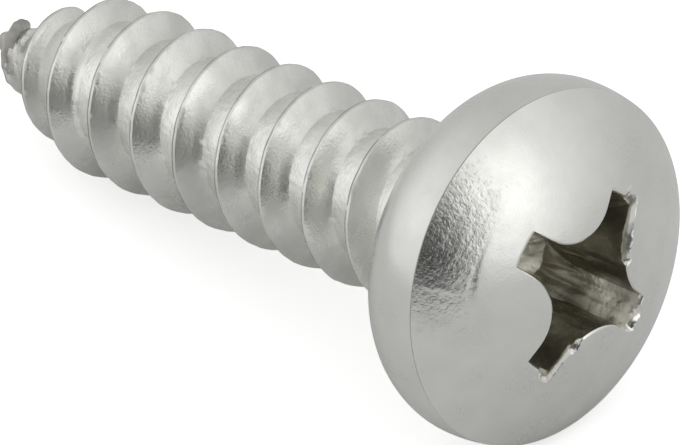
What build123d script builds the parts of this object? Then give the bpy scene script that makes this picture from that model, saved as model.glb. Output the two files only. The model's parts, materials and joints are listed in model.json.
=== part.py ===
from build123d import *
from math import asin, atan2, ceil, cos, hypot, pi, radians, sin, tan
import os

# A pan head sheet metal screw, 4.8 x 19, cold headed and thread rolled in one piece.
# It is drawn along Z with the head's bearing face at z = 0, the head below it and the
# point toward +Z. At the end it is laid on its side, resting on the rim of the head and
# on a thread crest, with +X from the point toward the head and +Z up.

# Head
HEAD_DIAMETER = 9.43
HEAD_HEIGHT = 3.6
RIM_HEIGHT = 1.17  # the widest ring, above the bearing face
CREASE_DIAMETER = 9.27
CREASE_HEIGHT = 1.95  # where the side meets the dome
CREASE_RADIUS = 0.08
BEARING_DIAMETER = 8.46
NECK_RADIUS = 0.4  # between the bearing face and the neck
NECK_DIAMETER = 4.0  # of the blank that the thread was rolled on
NECK_LENGTH = 0.6
NECK_TAPER = 0.9  # length over which the neck falls to the thread's core

# Cross recess, type H No. 2
RECESS_DIAMETER = 4.8  # over two opposite wings, where they meet the dome
WING_WIDTH = 0.96
WING_CORNER_RADIUS = 1.4  # between neighbouring wings
WING_DRAFT = 2.0  # of each wing side, in degrees
WING_END_ANGLE = 26.5  # of the wing ends, in degrees from the axis
RECESS_FLOOR_DIAMETER = 2.29
RECESS_FLOOR_SLOPE = 20.0  # of the conical floor, in degrees
RECESS_DEPTH = 3.0  # of the wing walls below the level of RECESS_DIAMETER
RECESS_TURN = 5.0  # of the wings about the axis, in degrees

# Shank and thread
SCREW_LENGTH = 18.45  # from the bearing face to the tip
MAJOR_DIAMETER = 4.71
MINOR_DIAMETER = 3.45
PITCH = 1.6
THREAD_ANGLE = 60.0
CREST_FLAT = 0.1
THREAD_PHASE = -34.7  # angle of the crest at the bearing face's height, in degrees
RUN_OUT_START = 0.35
RUN_OUT_END = 1.9
TIP_DIAMETER = 0.3
CORE_POINT_ANGLE = 45.0  # full angle of the core's point
CREST_POINT_ANGLE = 50.0  # full angle of the cone that the crests follow
CREST_POINT_LENGTH = 4.85  # from where the crests begin to fall to the tip
CREST_POINT_BLEND = 1.54  # length of their curve into the cone
POINT_FADE = 1.1  # length over which the thread dies out at the tip
THREAD_END = 0.1  # from the end of the thread to the tip
ROOT_SINK = 0.15  # how deep the thread's foot is sunk into the core
ROOT_LEAST = 1 / 3  # least share of the core's radius at the thread's foot
CREST_SINK = 0.05  # how deep the crest is sunk where the thread has died out
SPANS_PER_TURN = 2
SPAN_STEPS = 8
TANGENT_STEP = 0.001  # share of a span
TOLERANCE = 0.001

# Resting pose
ROLL = -40.8  # angle about the axis that faces up, in degrees

RIM_R = HEAD_DIAMETER / 2
BEARING_R = BEARING_DIAMETER / 2
CREASE_R = CREASE_DIAMETER / 2
NECK_R = NECK_DIAMETER / 2
CORE_R = MINOR_DIAMETER / 2
CREST_R = MAJOR_DIAMETER / 2
TIP_R = TIP_DIAMETER / 2
DOME_RISE = HEAD_HEIGHT - CREASE_HEIGHT
DOME_R = (CREASE_R**2 + DOME_RISE**2) / (2 * DOME_RISE)
UNDERCUT_R = ((RIM_R - BEARING_R) ** 2 + RIM_HEIGHT**2) / (2 * (RIM_R - BEARING_R))
CONE_START = SCREW_LENGTH - (CORE_R - TIP_R) / tan(radians(CORE_POINT_ANGLE / 2))
CREST_POINT_START = SCREW_LENGTH - CREST_POINT_LENGTH
CREST_SLOPE = tan(radians(CREST_POINT_ANGLE / 2))
FLANK_SLOPE = tan(radians(THREAD_ANGLE / 2))
RECESS_R = RECESS_DIAMETER / 2
FLOOR_R = RECESS_FLOOR_DIAMETER / 2
WING_LEVEL = -HEAD_HEIGHT + DOME_R - (DOME_R**2 - RECESS_R**2) ** 0.5
FLOOR_LEVEL = WING_LEVEL + (RECESS_R - FLOOR_R) / tan(radians(WING_END_ANGLE))


def core_radius(z):
    """Radius of the thread's core: neck, its taper, a cylinder, and a blunt cone."""
    if z < NECK_LENGTH + NECK_TAPER:
        return NECK_R - (NECK_R - CORE_R) * max(z - NECK_LENGTH, 0) / NECK_TAPER
    return min(CORE_R, TIP_R + (SCREW_LENGTH - z) * tan(radians(CORE_POINT_ANGLE / 2)))


def smooth(share):
    """A soft step from 0 to 1."""
    share = min(max(share, 0.0), 1.0)
    return share * share * (3 - 2 * share)


def crest_radius(z):
    """Radius of the crest: run-out, full thread, curve into the point's cone, fade."""
    past = max(z - CREST_POINT_START, 0.0)
    if past < CREST_POINT_BLEND:
        fall = CREST_SLOPE * past**2 / (2 * CREST_POINT_BLEND)
    else:
        fall = CREST_SLOPE * (past - CREST_POINT_BLEND / 2)
    height = CREST_R - fall - core_radius(z)
    height *= smooth((z - RUN_OUT_START) / (RUN_OUT_END - RUN_OUT_START))
    height *= smooth((SCREW_LENGTH - z) / POINT_FADE)
    return core_radius(z) + height - CREST_SINK * (1 - smooth(height / ROOT_SINK))


def helix_edge(radius_at, shift_at, first, last):
    """A spline on the helix, at radius_at(z) and moved along the axis by shift_at(z)."""

    def point(z):
        angle = radians(THREAD_PHASE) + 2 * pi * z / PITCH
        return Vector(radius_at(z) * cos(angle), radius_at(z) * sin(angle), z + shift_at(z))

    step = (last - first) * TANGENT_STEP
    shares = [i / SPAN_STEPS for i in range(SPAN_STEPS + 1)]
    points = [point(first + (last - first) * share) for share in shares]
    tangents = [(point(z + step) - point(z - step)) / (2 * TANGENT_STEP) for z in (first, last)]
    return Edge.make_spline(points, tangents=tangents, parameters=shares, scale=False)


def thread_ridge(first, last):
    """The helical ridge between two heights, as a solid with its foot inside the core."""

    def foot_radius(z):
        return max(core_radius(z) - ROOT_SINK, core_radius(z) * ROOT_LEAST)

    def foot_half(z):
        return CREST_FLAT / 2 + (crest_radius(z) - foot_radius(z)) * FLANK_SLOPE

    def crest_half(z):
        return CREST_FLAT / 2

    count = ceil((last - first) / PITCH * SPANS_PER_TURN)
    levels = [first + (last - first) * i / count for i in range(count + 1)]
    faces = []
    for low, high in zip(levels, levels[1:]):
        corners = [
            helix_edge(foot_radius, lambda z: -foot_half(z), low, high),
            helix_edge(crest_radius, lambda z: -crest_half(z), low, high),
            helix_edge(crest_radius, crest_half, low, high),
            helix_edge(foot_radius, foot_half, low, high),
        ]
        for i in range(4):
            faces.append(Face.make_surface_from_curves(corners[i], corners[(i + 1) % 4]))
        if low == first:
            faces.append(Face(Wire.make_polygon([corner @ 0 for corner in corners])))
        if high == last:
            faces.append(Face(Wire.make_polygon([corner @ 1 for corner in corners])))
    return Solid(Shell(faces))


def wing_section(depth):
    """Outline of the four wings, at a depth below the level where they meet the dome."""
    length = 3 * RECESS_R  # well past the wing ends
    width = WING_WIDTH - 2 * depth * tan(radians(WING_DRAFT))
    with BuildSketch(Plane.XY.offset(WING_LEVEL + depth)) as section:
        Rectangle(length, width, rotation=RECESS_TURN)
        Rectangle(width, length, rotation=RECESS_TURN)
        inner = section.vertices().sort_by_distance((0, 0, 0))
        fillet(inner[:4], WING_CORNER_RADIUS)
    return section.sketch


# Head and core, turned about the axis
with BuildPart() as blank:
    with BuildSketch(Plane.XZ) as outline:
        with BuildLine():
            RadiusArc((0, -HEAD_HEIGHT), (CREASE_R, -CREASE_HEIGHT), -DOME_R)
            TangentArc((RIM_R, -RIM_HEIGHT), (CREASE_R, -CREASE_HEIGHT), tangent=(0, -1))
            TangentArc((RIM_R, -RIM_HEIGHT), (BEARING_R, 0), tangent=(0, 1))
            Polyline(
                (BEARING_R, 0),
                (NECK_R, 0),
                (NECK_R, NECK_LENGTH),
                (CORE_R, NECK_LENGTH + NECK_TAPER),
                (CORE_R, CONE_START),
                (TIP_R, SCREW_LENGTH),
                (0, SCREW_LENGTH),
                (0, -HEAD_HEIGHT),
            )
        make_face()
    revolve(axis=Axis.Z)
    circles = blank.edges().filter_by(GeomType.CIRCLE)
    crease = circles.filter_by(lambda edge: abs(edge.radius - CREASE_R) < TOLERANCE)
    fillet(crease, CREASE_RADIUS)
    seat = blank.edges().filter_by(GeomType.CIRCLE).filter_by_position(Axis.Z, -TOLERANCE, TOLERANCE)
    fillet(seat.sort_by(SortBy.RADIUS)[0], NECK_RADIUS)

# Cross recess, as the solid that the punch removes
with BuildPart() as recess:
    for depth in (-DOME_RISE, RECESS_DEPTH):
        add(wing_section(depth))
    loft(ruled=True)
    with BuildSketch(Plane.XZ):
        with BuildLine():
            mouth = RECESS_R + DOME_RISE * tan(radians(WING_END_ANGLE))
            Polyline(
                (0, WING_LEVEL - DOME_RISE),
                (mouth, WING_LEVEL - DOME_RISE),
                (FLOOR_R, FLOOR_LEVEL),
                (0, FLOOR_LEVEL + FLOOR_R * tan(radians(RECESS_FLOOR_SLOPE))),
                close=True,
            )
        make_face()
    revolve(axis=Axis.Z, mode=Mode.INTERSECT)

# The finished screw, still along Z
with BuildPart() as upright:
    add(blank.part)
    add(recess.part, mode=Mode.SUBTRACT)
    add(thread_ridge(RUN_OUT_START, SCREW_LENGTH - THREAD_END))


def rest_tilt(z):
    """Tilt of the axis when the crest at this height and the head's rim lie on one plane."""
    along = z + CREST_FLAT / 2 + RIM_HEIGHT
    out = crest_radius(z) - (RIM_R - UNDERCUT_R)
    return asin(UNDERCUT_R / hypot(along, out)) - atan2(out, along)


def resting_place():
    """Frame of the screw on the plane z = 0: its axis falls toward -X by the smallest tilt."""
    first = (ROLL + 180 - THREAD_PHASE) / 360 % 1 * PITCH
    turns = int((SCREW_LENGTH - first) / PITCH)
    tilt = min(rest_tilt(first + turn * PITCH) for turn in range(1, turns))
    height = UNDERCUT_R + (RIM_R - UNDERCUT_R) * cos(tilt) - RIM_HEIGHT * sin(tilt)
    toward_tip = Vector(-cos(tilt), 0, -sin(tilt))
    up = Vector(-sin(tilt), 0, cos(tilt))
    across = Vector(0, 1, 0)
    start = up * cos(radians(ROLL)) - across * sin(radians(ROLL))
    return Plane(origin=(0, 0, height), x_dir=start, z_dir=toward_tip)


# The screw at rest, with the middle of its footprint at x = 0, y = 0
with BuildPart() as screw:
    lying = upright.part.moved(resting_place().location)
    middle = lying.bounding_box().center()
    add(lying.moved(Location((-middle.X, 0, 0))))

screw.part.label = "screw"
os.makedirs("parts", exist_ok=True)
export_step(screw.part, "parts/screw.step")
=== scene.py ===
import json
import math

import bmesh
import bpy
import numpy as np
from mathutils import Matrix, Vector


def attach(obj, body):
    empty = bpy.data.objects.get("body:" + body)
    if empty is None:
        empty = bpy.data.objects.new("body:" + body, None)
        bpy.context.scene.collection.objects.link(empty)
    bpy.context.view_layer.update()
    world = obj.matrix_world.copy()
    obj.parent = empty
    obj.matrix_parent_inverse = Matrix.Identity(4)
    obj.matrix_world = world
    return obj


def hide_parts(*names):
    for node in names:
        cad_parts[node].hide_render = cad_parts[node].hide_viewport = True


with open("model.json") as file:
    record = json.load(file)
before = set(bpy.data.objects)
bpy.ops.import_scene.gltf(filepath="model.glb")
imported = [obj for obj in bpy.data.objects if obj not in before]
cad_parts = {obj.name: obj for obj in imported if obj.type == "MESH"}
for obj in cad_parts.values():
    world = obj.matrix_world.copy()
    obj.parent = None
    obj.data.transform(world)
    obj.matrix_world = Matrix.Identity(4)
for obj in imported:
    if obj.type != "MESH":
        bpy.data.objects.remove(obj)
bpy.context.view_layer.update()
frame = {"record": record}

# The screw's dimensions, in millimetres and degrees, as in the CAD model. Along the axis,
# z = 0 is the bearing face, the point is at +z and the head at -z.
HEAD_HEIGHT = 3.6
RIM_R = 4.715
RIM_Z = -1.17
BEARING_R = 4.23
CREASE_R = 4.635
CREASE_Z = -1.95
NECK_R = 2.0
NECK_RADIUS = 0.4
NECK_LENGTH = 0.6
NECK_TAPER = 0.9
RECESS_R = 2.4
WING_HALF = 0.48
WING_CORNER_RADIUS = 1.4
WING_DRAFT = math.tan(math.radians(2.0))
WING_END_SLOPE = math.tan(math.radians(26.5))
FLOOR_R = 1.145
FLOOR_SLOPE = math.tan(math.radians(20.0))
RECESS_TURN = 5.0
SCREW_LENGTH = 18.45
CREST_R = 2.355
CORE_R = 1.725
PITCH = 1.6
CREST_FLAT = 0.1
THREAD_PHASE = -34.7
RUN_OUT_START = 0.4
RUN_OUT_END = 1.9
TIP_R = 0.15
CORE_POINT_SLOPE = math.tan(math.radians(22.5))
CREST_POINT_SLOPE = math.tan(math.radians(25.0))
CREST_POINT_START = 13.6
CREST_POINT_BLEND = 1.54
POINT_FADE = 1.1
ROLL = -40.8
MM = 0.001

DOME_RISE = HEAD_HEIGHT + CREASE_Z
DOME_R = (CREASE_R**2 + DOME_RISE**2) / (2 * DOME_RISE)
WING_LEVEL = -HEAD_HEIGHT + DOME_R - math.sqrt(DOME_R**2 - RECESS_R**2)
FLOOR_LEVEL = WING_LEVEL + (RECESS_R - FLOOR_R) / WING_END_SLOPE
FLANK_RATIO = 1 / math.tan(math.radians(30.0))  # fall of the radius per step along the axis

# Mesh resolution
SHANK_COLUMNS = 208  # round the shank, in one turn
HEAD_COLUMNS = 416
THREAD_ROWS = 18  # from one crest to the next
DOME_RINGS = 46
WALL_RINGS = 22
FLOOR_RINGS = 9
PROFILE_RINGS = 46  # from the neck to the crease
WING_END_COLUMNS = 0.23  # share of the columns on the wing ends
MOUTH_RING = PROFILE_RINGS + DOME_RINGS - 1
HEAD_RINGS = MOUTH_RING + WALL_RINGS + FLOOR_RINGS - 1
WELD = 2e-7  # metres
SHARP_ANGLE = 38.0

# Places of the marks of manufacture. Angles round the head are in radians from the recess.
CREASE_GROOVE = ((0.006, 0.03), (-0.04, 0.02))  # its lip and bottom, from the crease
PATCH_ANGLE = -1.8  # where the dome is left grainy
FOLD_R = 3.42  # a faint fold in the dome, from the heading die
FOLD_SPAN = (-2.3, 0.3, 0.1, 0.5)  # where it starts, over what, where it ends, over what
SCRATCH_ANGLE = -2.04
UPPER_BURR = (0.02, 0.06, 0.82, 0.1)  # spans of torn recess edge, written like FOLD_SPAN
END_BURR = (1.46, 0.06, 1.8, 0.1)
LOWER_BURR = (2.62, 0.12, 3.12, 0.04)
BURR_SLOPE = 0.8
TICK_DEPTHS = (0.13, 0.42)  # two ridges across the left wing's end, as shares of its depth
FOLDED_FROM = 12.6  # the crests are lapped from here
FOLDED_TO = 17.2
TIP_ROUGH_START = 15.9
TIP_DULL_START = 17.1
NOSE_LENGTH = 0.14
ROOT_BLEND = 0.035  # rounding at the foot of the thread
CREST_SHADE_WIDTH = 0.075  # of the painted shade line along each crest

# Relief, as layers of height, size and seed, in millimetres
DOME_GRAIN = ((0.0012, 0.34, 3), (0.0007, 0.15, 5))
PATCH_GRAIN = ((0.003, 0.19, 6), (0.0045, 0.11, 7))
BURR_RAG = ((0.5, 0.16, 11), (0.4, 0.32, 13))  # its heights are shares
FLOOR_GRAIN = ((0.045, 0.2, 31), (0.04, 0.5, 33))
FLANK_GRAIN = ((0.006, 0.3, 45), (0.0035, 0.13, 47))
CREST_WEAR = ((0.014, 0.5, 49), (0.01, 0.2, 51))
TIP_GRAIN = ((0.045, 0.35, 53), (0.03, 0.16, 55))

# Finishes: bright tone, dull tone, roughness, depth and frequency of the grain, per metre
FINISHES = {
    "bright_steel": ((0.775, 0.78, 0.745), (0.73, 0.735, 0.70), 0.12, 3.2e-6, 14000.0),
    "recess_steel": ((0.62, 0.60, 0.52), (0.34, 0.33, 0.27), 0.20, 1.6e-5, 7000.0),
    "rolled_steel": ((0.84, 0.845, 0.805), (0.72, 0.725, 0.685), 0.18, 8e-6, 13000.0),
    # Darker steel: the real dull grey of the rough tip, and the painted shade of the dark lines
    # along the crests
    "dull_tip_and_crest_shade_steel": ((0.60, 0.595, 0.56), (0.34, 0.335, 0.31), 0.26, 1.2e-5, 9000.0),
    "pebbled_steel": ((0.775, 0.78, 0.745), (0.70, 0.705, 0.67), 0.10, 1.5e-5, 8500.0),
    "hatched_steel": ((0.93, 0.93, 0.90), (0.80, 0.80, 0.765), 0.12, 1.5e-5, 11000.0),
}
BRIGHT, RECESS, ROLLED, DULL_TIP_AND_CREST_SHADE, PEBBLED, HATCHED = range(6)
BLOTCH_FREQUENCY = 900.0

# The studio: radiance from everywhere, and patches as azimuth, elevation, spread and strength
BASE_LIGHT = 0.58
DARKEST = 0.05
SOFT_LIGHTS = (
    (97.0, 22.0, 14.0, 0.6),
    (108.0, 34.0, 30.0, 0.36),
    (-45.0, 28.0, 26.0, 0.42),
    (63.0, 19.0, 8.5, -2.0),
    (62.0, 4.0, 9.0, -1.8),
    (66.0, 33.0, 6.0, -1.3),
)
FLOOR_GLOW = 0.6
FLOOR_TONE = 0.8
FLOOR_HALF = 0.4  # metres

# Camera, in degrees, metres and millimetres
CAMERA_AZIMUTH = 46.1947
CAMERA_ELEVATION = 35.8827
CAMERA_DISTANCE = 0.2760844
CAMERA_TARGET = Vector((0.00183709, 0.0, 0.00232589))
CAMERA_LENS = 578.6


# ---------------------------------------------------------------- where the screw lies

mounts = {mount["name"]: mount for mount in frame["record"]["mounts"]}
TO_TIP = np.array(mounts["under_head_face"]["axis"])
SEAT = np.array(mounts["under_head_face"]["pos_m"]) * (1, 0, 1)
ACROSS = np.array((0.0, 1.0, 0.0))
UPWARD = np.cross(ACROSS, TO_TIP)
TURN = math.radians(ROLL)
START = math.cos(TURN) * UPWARD - math.sin(TURN) * ACROSS
SIDE = np.cross(TO_TIP, START)


def to_world(points):
    """Points in the screw's own millimetres to metres in the shared frame."""
    return SEAT + MM * (points @ np.array((START, SIDE, TO_TIP)))


# ---------------------------------------------------------------- noise and steps


def smooth(share):
    share = np.clip(share, 0.0, 1.0)
    return share * share * (3 - 2 * share)


def bump(x, middle, width):
    """A bell round middle, 1 at its top."""
    return np.exp(-(((x - middle) / width) ** 2))


def window(x, span):
    """1 inside a span of (start, rise, end, fall), and 0 outside."""
    start, rise, end, fall = span
    return smooth((x - start) / rise) * smooth((end - x) / fall)


def layered(points, layers):
    """The sum of noise layers, each a height, a size and a seed."""
    return sum(height * noise(points, size, seed) for height, size, seed in layers)


def noise(points, scale, seed):
    """Smooth value noise from -1 to 1, with features of about the size of scale."""
    size = 32
    lattice = np.random.RandomState(seed).uniform(-1, 1, (size, size, size))
    place = points / np.asarray(scale, float)
    cell = np.floor(place).astype(int)
    share = smooth(place - cell)
    total = np.zeros(points.shape[:-1])
    for corner in np.ndindex(2, 2, 2):
        weight = np.prod(np.where(corner, share, 1 - share), axis=-1)
        i, j, k = np.moveaxis((cell + corner) % size, -1, 0)
        total += weight * lattice[i, j, k]
    return total


# ---------------------------------------------------------------- shank and thread


def core_radius(z):
    neck = NECK_R - (NECK_R - CORE_R) * smooth((z - NECK_LENGTH) / NECK_TAPER)
    point = TIP_R + (SCREW_LENGTH - z) * CORE_POINT_SLOPE
    return np.minimum(neck, point)


def crest_radius(z):
    past = np.maximum(z - CREST_POINT_START, 0)
    curve = past**2 / (2 * CREST_POINT_BLEND)
    straight = past - CREST_POINT_BLEND / 2
    fall = CREST_POINT_SLOPE * np.where(past < CREST_POINT_BLEND, curve, straight)
    height = CREST_R - fall - core_radius(z)
    height = height * smooth((z - RUN_OUT_START) / (RUN_OUT_END - RUN_OUT_START))
    height = height * smooth((SCREW_LENGTH - z) / POINT_FADE)
    return core_radius(z) + height


def soft_max(a, b, width):
    """The larger of two radii, with the corner between them rounded over width."""
    mix = np.clip(0.5 + (a - b) / (2 * width), 0, 1)
    return b + (a - b) * mix + width * mix * (1 - mix)


def shank_grid():
    """Rows along the thread's helix: each row of vertices lies a share of the way up a pitch."""
    share = np.linspace(0, 1, THREAD_ROWS + 1)
    share = share - 0.35 * np.sin(2 * math.pi * share) / (2 * math.pi)
    turns = (SCREW_LENGTH - RUN_OUT_START) / PITCH
    steps = np.arange(-SHANK_COLUMNS, round(turns * SHANK_COLUMNS))
    low_crest = RUN_OUT_START + PITCH * steps[:, None] / SHANK_COLUMNS
    high_crest = low_crest + PITCH
    low = np.maximum(low_crest, RUN_OUT_START)
    high = np.minimum(high_crest, SCREW_LENGTH)
    z = low + (high - low) * share[None, :]
    angle = math.radians(THREAD_PHASE) + 2 * math.pi * low_crest / PITCH + 0 * z

    radius = core_radius(z)
    for crest in (low_crest, high_crest):
        away = np.maximum(np.abs(z - crest) - CREST_FLAT / 2, 0)
        ridge = crest_radius(crest) - FLANK_RATIO * away
        radius = soft_max(ridge, radius, ROOT_BLEND)
    return angle, z, weather_shank(angle, z, radius, low_crest)


def weather_shank(angle, z, radius, low_crest):
    """The marks of the rolling dies: hatched roots, grained flanks, lapped and nicked crests."""
    place = np.stack((radius * np.cos(angle), radius * np.sin(angle), z), -1)
    above_core = radius - core_radius(z)
    root = smooth(1 - above_core / 0.11) * smooth(z - RUN_OUT_START)
    along = low_crest / PITCH * 2 * math.pi * CORE_R
    hatch = noise(np.stack((along + 0.9 * z, 0 * z, 3 * z - along * 0.3), -1), 0.13, 41)
    cross = noise(np.stack((along - 0.9 * z, 0 * z, 3 * z + along * 0.3), -1), 0.13, 43)
    relief = root * (0.012 * hatch * cross + 0.007 * hatch + 0.005 * cross)
    relief = relief + (1 - root) * layered(place, FLANK_GRAIN)

    crest = smooth(above_core / 0.3)
    share = np.abs((z - low_crest) / PITCH)
    at_crest = np.maximum(bump(share, 0, 0.05), bump(share, 1, 0.05)) * crest
    lap = bump(share, 0.045, 0.012) + bump(share, 0.955, 0.012)
    relief = relief + at_crest * (layered(place, CREST_WEAR) - 0.012) - 0.012 * lap * crest
    folded = bump(share, 0.16, 0.025) * window(z, (FOLDED_FROM, 1.0, FOLDED_TO, 0.6))
    relief = relief - 0.035 * folded
    relief = relief + smooth((z - TIP_ROUGH_START) / 1.4) * layered(place, TIP_GRAIN)

    to_tip = np.clip((SCREW_LENGTH - z) / NOSE_LENGTH, 0, 1)
    nose = np.sqrt(to_tip * (2 - to_tip))
    return (radius + relief * window(z, (RUN_OUT_START, 0.1, SCREW_LENGTH, 0.1))) * nose


def build_shank():
    """Points and quads of neck, thread and point. Neighbouring turns repeat their shared row."""
    angle, z, radius = shank_grid()
    points = np.stack((radius * np.cos(angle), radius * np.sin(angle), z), -1)
    return grid_quads(points)


def grid_quads(points, closed=False):
    """A grid of points as a flat list with its quads, joined round if it is closed."""
    columns, rows = points.shape[:2]
    index = np.arange(columns * rows).reshape(columns, rows)
    if closed:
        index = np.vstack((index, index[:1]))
    quads = np.stack((index[:-1, :-1], index[1:, :-1], index[1:, 1:], index[:-1, 1:]), -1)
    return points.reshape(-1, 3), quads.reshape(-1, 4)


# ---------------------------------------------------------------- head and recess


def dome_z(r):
    return -HEAD_HEIGHT + DOME_R - np.sqrt(np.maximum(DOME_R**2 - r**2, 0))


def arc(center, radius, first, last, count):
    """Points (r, z) on an arc between two angles, in degrees, without the last one."""
    turn = np.radians(np.linspace(first, last, count, endpoint=False))
    return np.stack((center[0] + radius * np.cos(turn), center[1] + radius * np.sin(turn)), -1)


def head_profile():
    """The head's outline (r, z) from the neck over the bearing face and rim to the crease."""
    under_r = ((RIM_R - BEARING_R) ** 2 + RIM_Z**2) / (2 * (RIM_R - BEARING_R))
    under_turn = math.degrees(math.asin(-RIM_Z / under_r))
    side = CREASE_Z - RIM_Z
    upper_r = ((RIM_R - CREASE_R) ** 2 + side**2) / (2 * (RIM_R - CREASE_R))
    upper_turn = math.degrees(math.asin(-side / upper_r))
    flat = np.linspace(NECK_R + NECK_RADIUS, BEARING_R, 8, endpoint=False)
    return np.vstack((
        arc((NECK_R + NECK_RADIUS, NECK_RADIUS), NECK_RADIUS, 180, 270, 6),
        np.stack((flat, 0 * flat), -1),
        arc((RIM_R - under_r, RIM_Z), under_r, under_turn, 0, 16),
        arc((RIM_R - upper_r, RIM_Z), upper_r, 0, -upper_turn, 14),
        np.array((CREASE_R, CREASE_Z)) + CREASE_GROOVE,
    ))


def cross_radius(angle, z):
    """Distance from the axis to the recess wall, at an angle from the nearest wing's middle."""
    depth = z - WING_LEVEL
    tip = RECESS_R - WING_END_SLOPE * depth
    half = WING_HALF - WING_DRAFT * depth
    middle = half + WING_CORNER_RADIUS
    along = middle * (np.cos(angle) + np.sin(angle))
    corner = along - np.sqrt(np.maximum(along**2 - 2 * middle**2 + WING_CORNER_RADIUS**2, 0))
    side = half / np.maximum(np.sin(angle), 1e-6)
    straight = side * np.cos(angle) > middle
    return np.minimum(tip, np.where(straight, side, corner))


def recess_angles(z, columns):
    """Angles from a wing's middle to the diagonal that follow the outline at even steps."""
    fine = np.linspace(0, math.pi / 4, 4000)
    radius = cross_radius(fine, z)
    step = np.hypot(np.diff(radius * np.cos(fine)), np.diff(radius * np.sin(fine)))
    length = np.concatenate(((0,), np.cumsum(step)))
    end_radius = RECESS_R - WING_END_SLOPE * (z - WING_LEVEL)
    tip_end = np.searchsorted(-cross_radius(fine, z), -end_radius + 1e-6)
    tip_end = min(max(tip_end, 1), len(fine) - 2)
    on_tip = round(columns * WING_END_COLUMNS)
    stops = np.concatenate((
        np.linspace(0, length[tip_end], on_tip, endpoint=False),
        np.linspace(length[tip_end], length[-1], columns - on_tip + 1),
    ))
    return np.interp(stops, length, fine)


def recess_ring(z):
    """Angle and nearest-wing angle of every head column, spread along the recess outline."""
    eighth = HEAD_COLUMNS // 8
    half = recess_angles(z, eighth)
    wing = np.concatenate((half[:-1], math.pi / 2 - half[:0:-1]))
    angle = np.concatenate([wing + turn * math.pi / 2 for turn in range(4)])
    near = np.concatenate([np.concatenate((half[:-1], half[:0:-1]))] * 4)
    return angle, near


def build_head():
    """Points and quads of the head from the neck to the middle of the recess floor."""
    even = np.arange(HEAD_COLUMNS) * 2 * math.pi / HEAD_COLUMNS
    turn = math.radians(RECESS_TURN)
    rings = []
    shank_turn = math.radians(THREAD_PHASE) + 2 * math.pi * RUN_OUT_START / PITCH
    for r, z in head_profile():
        near_neck = smooth((BEARING_R - r) / (BEARING_R - NECK_R - NECK_RADIUS))
        twist = turn + (shank_turn - turn) * near_neck
        rings.append(spin(np.stack((r * np.cos(even), r * np.sin(even)), -1), z, twist))

    mouth_angle, mouth_near = recess_ring(WING_LEVEL)
    mouth_r = cross_radius(mouth_near, WING_LEVEL)
    for _ in range(3):
        mouth_r = cross_radius(mouth_near, dome_z(mouth_r))
    outer = np.stack((CREASE_R * np.cos(even), CREASE_R * np.sin(even)), -1)
    inner = np.stack((mouth_r * np.cos(mouth_angle), mouth_r * np.sin(mouth_angle)), -1)
    for share in np.linspace(0, 1, DOME_RINGS):
        share = share + 0.3 * math.sin(math.pi * share) / math.pi
        flat = outer + (inner - outer) * share
        r = np.hypot(flat[:, 0], flat[:, 1])
        rings.append(spin(flat, dome_z(r), turn))

    mouth_z = dome_z(mouth_r)
    for share in np.linspace(0, 1, WALL_RINGS)[1:]:
        level = WING_LEVEL + (FLOOR_LEVEL - WING_LEVEL) * share
        angle, near = recess_ring(level)
        z = mouth_z + (FLOOR_LEVEL - mouth_z) * share
        r = cross_radius(near, z)
        rings.append(spin(np.stack((r * np.cos(angle), r * np.sin(angle)), -1), z, turn))
    edge = rings[-1][:, :2]
    edge_r = np.hypot(edge[:, 0], edge[:, 1])
    for share in np.linspace(0, 1, FLOOR_RINGS)[1:]:
        flat = edge * (1 - share)
        z = FLOOR_LEVEL + FLOOR_SLOPE * (edge_r.max() - edge_r * (1 - share))
        rings.append(np.column_stack((flat, z)))
    points = weather_head(np.stack(rings, 1))
    return grid_quads(points, closed=True)


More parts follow.
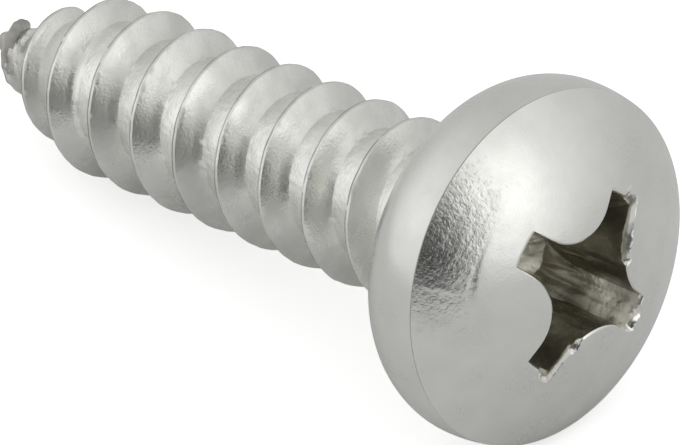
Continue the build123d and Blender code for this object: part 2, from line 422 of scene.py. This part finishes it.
def weather_head(points):
    """The marks of the header: dome grain, a fold, a scratch, and the torn recess."""
    r = np.hypot(points[..., 0], points[..., 1])
    angle = np.arctan2(points[..., 1], points[..., 0]) - math.radians(RECESS_TURN)
    angle = np.arctan2(np.sin(angle), np.cos(angle))
    ring = np.arange(HEAD_RINGS)[None, :]
    z = points[..., 2]
    on_dome = smooth((ring - PROFILE_RINGS) / 2) * (ring < MOUTH_RING + 1)
    in_recess = smooth((ring - MOUTH_RING) / 3)
    outward = np.array((0, 0, -1))

    patch = bump(angle, PATCH_ANGLE, 0.42) * smooth((r - 3.3) / 0.5)
    grain = layered(points, DOME_GRAIN) + patch * layered(points, PATCH_GRAIN)
    fold_at = FOLD_R + 0.04 * noise(points, 1.5, 8)
    fold = 0.006 * bump(r, fold_at, 0.03) + 0.012 * smooth((fold_at - r) / 0.5)
    fold = -window(angle, FOLD_SPAN) * fold
    scratch_at = SCRATCH_ANGLE + 0.02 * noise(points, 0.4, 9)
    scratch = 0.014 * bump(angle, scratch_at, 0.02) * bump(r, 4.0, 0.38)
    nick = 0.014 * bump(angle, SCRATCH_ANGLE + 0.04, 0.1) * bump(r, FOLD_R + 0.01, 0.045)
    lift = on_dome * (grain + fold + scratch - nick)

    mouth = points[:, MOUTH_RING : MOUTH_RING + 1]
    to_mouth = np.hypot(points[..., 0] - mouth[..., 0], points[..., 1] - mouth[..., 1])
    upper = window(angle, UPPER_BURR)
    lower = window(angle, END_BURR) + window(angle, LOWER_BURR)
    ragged = layered(points, BURR_RAG)
    width = 0.05 + upper * (0.15 + 0.03 * ragged) + lower * (0.13 + 0.12 * ragged)
    width = np.maximum(width, 0.03)
    bevel = np.clip(1 - to_mouth / width, 0, 1) * (ring <= MOUTH_RING + 2)
    bevel = bevel * np.where(ring > MOUTH_RING, 0.35, 1.0)
    lip = (upper + lower) * 0.03 * bump(to_mouth, 1.25 * width, 0.05) * (ring <= MOUTH_RING)
    lift = lift - BURR_SLOPE * width * bevel + lip * (1 + ragged)
    inward = np.stack((-points[..., 0], -points[..., 1], 0 * r), -1)
    inward = inward / np.maximum(r, 0.05)[..., None]
    points = points + outward * lift[..., None]

    depth = np.clip((z - WING_LEVEL) / (FLOOR_LEVEL - WING_LEVEL), 0, 1)
    streak = 0.022 * noise(np.stack((angle * 2.2, 0 * r, 0.22 * z), -1), 0.14, 21)
    tear = 0.026 * noise(points * (1, 1, 0.55), 0.2, 23)
    swell = 0.03 * noise(points, 0.5, 27)
    ticks = sum(bump(depth, share, 0.03) for share in TICK_DEPTHS)
    wall = smooth(r / 0.9) * (streak + tear + swell) * (0.5 + 0.8 * depth)
    wall = wall + 0.03 * bump(angle, -math.pi / 2, 0.17) * ticks
    points = points + inward * (in_recess * wall)[..., None]
    rough_floor = in_recess * depth**3 * layered(points, FLOOR_GRAIN)
    return points + outward * rough_floor[..., None]


def spin(flat, z, turn):
    """Flat points turned about the axis and set at height z."""
    x = flat[:, 0] * math.cos(turn) - flat[:, 1] * math.sin(turn)
    y = flat[:, 0] * math.sin(turn) + flat[:, 1] * math.cos(turn)
    return np.stack((x, y, z + 0 * x), -1)


# ---------------------------------------------------------------- the screw as one mesh


def join_neck(head_start):
    """Triangles between the head's first ring and the shank's, which has half its columns."""
    faces = []
    for k in range(SHANK_COLUMNS):
        near, next_near = k * (THREAD_ROWS + 1), (k + 1) * (THREAD_ROWS + 1)
        a, b, c = (head_start + (2 * k + i) % HEAD_COLUMNS * HEAD_RINGS for i in range(3))
        faces += [(a, b, near), (near, b, next_near), (b, c, next_near)]
    return faces


def build_screw():
    shank_points, shank_quads = build_shank()
    head_points, head_quads = build_head()
    points = np.vstack((shank_points, head_points))
    quads = np.vstack((shank_quads, head_quads + len(shank_points))).tolist()
    mesh = bpy.data.meshes.new("screw")
    mesh.from_pydata(to_world(points).tolist(), [], quads + join_neck(len(shank_points)))
    shell = bmesh.new()
    shell.from_mesh(mesh)
    bmesh.ops.remove_doubles(shell, verts=shell.verts, dist=WELD)
    bmesh.ops.recalc_face_normals(shell, faces=shell.faces)
    shell.to_mesh(mesh)
    shell.free()
    mesh.validate()
    mesh.shade_smooth()
    mesh.set_sharp_from_angle(angle=math.radians(SHARP_ANGLE))
    screw = bpy.data.objects.new("sheet_metal_screw", mesh)
    bpy.context.scene.collection.objects.link(screw)
    return screw


# ---------------------------------------------------------------- stage, light and camera


def aim(thing, place, target):
    thing.location = place
    thing.rotation_euler = (Vector(target) - Vector(place)).to_track_quat("-Z", "Y").to_euler()


def direction(azimuth, elevation):
    """Unit vector: azimuth 0 is -Y and 90 is +X."""
    a, e = math.radians(azimuth), math.radians(elevation)
    return Vector((math.sin(a) * math.cos(e), -math.cos(a) * math.cos(e), math.sin(e)))


def add_camera():
    data = bpy.data.cameras.new("camera")
    data.sensor_width = 36.0
    data.lens = CAMERA_LENS
    data.clip_start = 0.01
    camera = bpy.data.objects.new("camera", data)
    bpy.context.scene.collection.objects.link(camera)
    toward_camera = direction(CAMERA_AZIMUTH, CAMERA_ELEVATION)
    aim(camera, CAMERA_TARGET + CAMERA_DISTANCE * toward_camera, CAMERA_TARGET)
    bpy.context.scene.camera = camera


def nodes_of(owner):
    owner.use_nodes = True
    tree = owner.node_tree
    tree.nodes.clear()
    return tree


def link_value(tree, source, socket):
    """Links a node's output, or sets a plain value."""
    if isinstance(source, bpy.types.NodeSocket):
        tree.links.new(source, socket)
    else:
        socket.default_value = source


def math_node(tree, operation, first, second=0.0):
    node = tree.nodes.new("ShaderNodeMath")
    node.operation = operation
    link_value(tree, first, node.inputs[0])
    link_value(tree, second, node.inputs[1])
    return node.outputs[0]


def noise_node(tree, vector, scale, detail=3.0, roughness=0.55):
    node = tree.nodes.new("ShaderNodeTexNoise")
    node.inputs["Scale"].default_value = scale
    node.inputs["Detail"].default_value = detail
    node.inputs["Roughness"].default_value = roughness
    tree.links.new(vector, node.inputs["Vector"])
    return node.outputs["Fac"]


def mix_color(tree, share, first, second):
    node = tree.nodes.new("ShaderNodeMix")
    node.data_type = "RGBA"
    link_value(tree, share, node.inputs["Factor"])
    link_value(tree, first, node.inputs["A"])
    link_value(tree, second, node.inputs["B"])
    return node.outputs["Result"]


def share_between(tree, value, low, high):
    """0 at low and 1 at high, along a straight line."""
    node = tree.nodes.new("ShaderNodeMapRange")
    tree.links.new(value, node.inputs["Value"])
    node.inputs["From Min"].default_value = low
    node.inputs["From Max"].default_value = high
    return node.outputs["Result"]


def steel_material(name, bright, dull, roughness, grain_depth, frequency):
    """Bare steel: two tones mixed by a blotchy noise, and a fine grain in the normal."""
    material = bpy.data.materials.new(name)
    tree = nodes_of(material)
    place = tree.nodes.new("ShaderNodeTexCoord").outputs["Object"]
    blotch = share_between(tree, noise_node(tree, place, BLOTCH_FREQUENCY), 0.36, 0.64)
    fine = noise_node(tree, place, frequency, 4.0, 0.6)
    shader = tree.nodes.new("ShaderNodeBsdfPrincipled")
    shader.inputs["Metallic"].default_value = 1.0
    tone = mix_color(tree, blotch, (*bright, 1), (*dull, 1))
    link_value(tree, tone, shader.inputs["Base Color"])
    wear = math_node(tree, "MULTIPLY", blotch, 0.1)
    rough = math_node(tree, "ADD", wear, math_node(tree, "MULTIPLY", fine, 0.12))
    link_value(tree, math_node(tree, "ADD", rough, roughness), shader.inputs["Roughness"])
    grain = tree.nodes.new("ShaderNodeBump")
    grain.inputs["Strength"].default_value = 1.0
    grain.inputs["Distance"].default_value = grain_depth
    tree.links.new(fine, grain.inputs["Height"])
    tree.links.new(grain.outputs["Normal"], shader.inputs["Normal"])
    output = tree.nodes.new("ShaderNodeOutputMaterial")
    tree.links.new(shader.outputs["BSDF"], output.inputs["Surface"])
    return material


def paint(screw):
    """Gives every face one of the finishes by where it lies on the screw, with a painted shade
    line along each crest.
    """
    mesh = screw.data
    for name, finish in FINISHES.items():
        mesh.materials.append(steel_material(name, *finish))
    count = len(mesh.polygons)
    centers = np.empty(count * 3)
    mesh.polygons.foreach_get("center", centers)
    local = (centers.reshape(-1, 3) - SEAT) @ np.array((START, SIDE, TO_TIP)).T / MM
    r, z = np.hypot(local[:, 0], local[:, 1]), local[:, 2]
    finish = np.where(z > RUN_OUT_START, ROLLED, BRIGHT)
    in_recess = (z < -0.1) & (r < RECESS_R + 0.1) & (z > dome_z(r) + 0.09)
    finish = np.where(in_recess, RECESS, finish)

    angle = np.arctan2(local[:, 1], local[:, 0])
    turn = z / PITCH + (THREAD_PHASE - np.degrees(angle)) / 360
    past_crest = (turn - np.floor(turn)) * PITCH
    # Painted shade: a broken dark line along the tip-facing edge of every crest; the tip is
    # dulled too, as its own rough finish
    shade_and_dull_breakup = noise(local, 0.6, 61)
    on_thread = (r > core_radius(z) + 0.25) & (z > RUN_OUT_START)
    crest_shade_line = on_thread & (past_crest < CREST_SHADE_WIDTH) & (shade_and_dull_breakup > -0.6)
    at_tip = z + 0.5 * shade_and_dull_breakup > TIP_DULL_START
    at_patch = bump(angle - math.radians(RECESS_TURN), PATCH_ANGLE, 0.5) * smooth((r - 3.2) / 0.4)
    pebbled = (at_patch + 0.25 * noise(local, 0.12, 63) > 0.4) & (z < CREASE_Z - 0.02)
    finish = np.where(pebbled, PEBBLED, finish)
    finish = np.where((r < core_radius(z) + 0.04) & (z > RUN_OUT_START), HATCHED, finish)
    finish = np.where(crest_shade_line | at_tip, DULL_TIP_AND_CREST_SHADE, finish)
    mesh.polygons.foreach_set("material_index", finish.astype(np.int32))


def lobe(tree, ray, azimuth, elevation, spread):
    """A soft round patch of light: 1 in its middle and 0.61 at spread degrees from it."""
    dot = tree.nodes.new("ShaderNodeVectorMath")
    dot.operation = "DOT_PRODUCT"
    tree.links.new(ray, dot.inputs[0])
    dot.inputs[1].default_value = direction(azimuth, elevation)
    away = math_node(tree, "SUBTRACT", dot.outputs["Value"], 1.0)
    narrow = 1.0 / math.radians(spread) ** 2
    return math_node(tree, "EXPONENT", math_node(tree, "MULTIPLY", away, narrow))


def build_world():
    """A pale studio. The camera sees plain white; the screw sees the soft lights round it."""
    world = bpy.data.worlds.new("studio")
    bpy.context.scene.world = world
    tree = nodes_of(world)
    ray = tree.nodes.new("ShaderNodeTexCoord").outputs["Generated"]
    level = BASE_LIGHT
    for azimuth, elevation, spread, strength in SOFT_LIGHTS:
        patch = lobe(tree, ray, azimuth, elevation, spread)
        level = math_node(tree, "ADD", math_node(tree, "MULTIPLY", patch, strength), level)
    level = math_node(tree, "MAXIMUM", level, DARKEST)
    path = tree.nodes.new("ShaderNodeLightPath")
    seen = tree.nodes.new("ShaderNodeMix")
    tree.links.new(path.outputs["Is Camera Ray"], seen.inputs[0])
    tree.links.new(level, seen.inputs[2])
    seen.inputs[3].default_value = 1.0
    background = tree.nodes.new("ShaderNodeBackground")
    background.inputs["Color"].default_value = (1.0, 1.0, 1.0, 1.0)
    tree.links.new(seen.outputs[0], background.inputs["Strength"])
    output = tree.nodes.new("ShaderNodeOutputWorld")
    tree.links.new(background.outputs[0], output.inputs["Surface"])


def build_floor():
    """A pale sheet: white to the camera but for the soft shadow, pale grey to the steel."""
    material = bpy.data.materials.new("pale_sheet")
    tree = nodes_of(material)
    path = tree.nodes.new("ShaderNodeLightPath")
    diffuse = tree.nodes.new("ShaderNodeBsdfDiffuse")
    diffuse.inputs["Color"].default_value = (FLOOR_TONE, FLOOR_TONE, FLOOR_TONE, 1)
    glow = tree.nodes.new("ShaderNodeEmission")
    glow.inputs["Strength"].default_value = FLOOR_GLOW
    both = tree.nodes.new("ShaderNodeAddShader")
    tree.links.new(diffuse.outputs[0], both.inputs[0])
    tree.links.new(glow.outputs[0], both.inputs[1])
    pick = tree.nodes.new("ShaderNodeMixShader")
    tree.links.new(path.outputs["Is Camera Ray"], pick.inputs[0])
    tree.links.new(diffuse.outputs[0], pick.inputs[1])
    tree.links.new(both.outputs[0], pick.inputs[2])
    output = tree.nodes.new("ShaderNodeOutputMaterial")
    tree.links.new(pick.outputs[0], output.inputs["Surface"])

    half = FLOOR_HALF
    mesh = bpy.data.meshes.new("floor")
    corners = [(-half, -half, 0), (half, -half, 0), (half, half, 0), (-half, half, 0)]
    mesh.from_pydata(corners, [], [(0, 1, 2, 3)])
    mesh.materials.append(material)
    floor = bpy.data.objects.new("floor", mesh)
    bpy.context.scene.collection.objects.link(floor)


screw = build_screw()
paint(screw)
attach(screw, "root")
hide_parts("screw")
build_world()
build_floor()
add_camera()
bpy.context.scene.view_settings.view_transform = "Standard"
